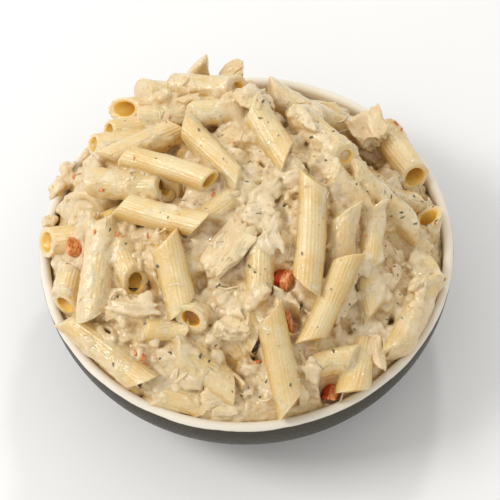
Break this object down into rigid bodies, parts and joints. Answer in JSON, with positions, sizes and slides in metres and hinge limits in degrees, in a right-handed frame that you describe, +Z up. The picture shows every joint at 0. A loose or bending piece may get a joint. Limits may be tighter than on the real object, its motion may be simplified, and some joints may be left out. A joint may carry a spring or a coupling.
{
  "type": "bowl of chicken pasta salad",
  "caption": "Round low bowl heaped above its rim with penne in a creamy dressing, chicken pieces and red pepper.",
  "frame": {"origin": "centre of the bowl's foot, on the table", "axes": "+Z up, -Y towards the eater, +X to the eater's right"},
  "size_m": [0.1761, 0.176, 0.1039],
  "materials": {
    "glaze": "gloss",
    "dressed_pasta": "satin",
    "dressing": "satin",
    "chicken": "satin",
    "red_pepper": "gloss",
    "herbs": "matte"
  },
  "bodies": {
    "root": {"bowl": "glaze", "salad": "dressed_pasta", "chicken_back": "chicken", "chicken_front": "chicken", "chicken_centre": "chicken", "chicken_lower": "chicken", "chicken_strip": "chicken", "pepper_centre": "red_pepper", "pepper_lower": "red_pepper", "pepper_front": "red_pepper", "pepper_left": "red_pepper"}
  },
  "joints": []
}
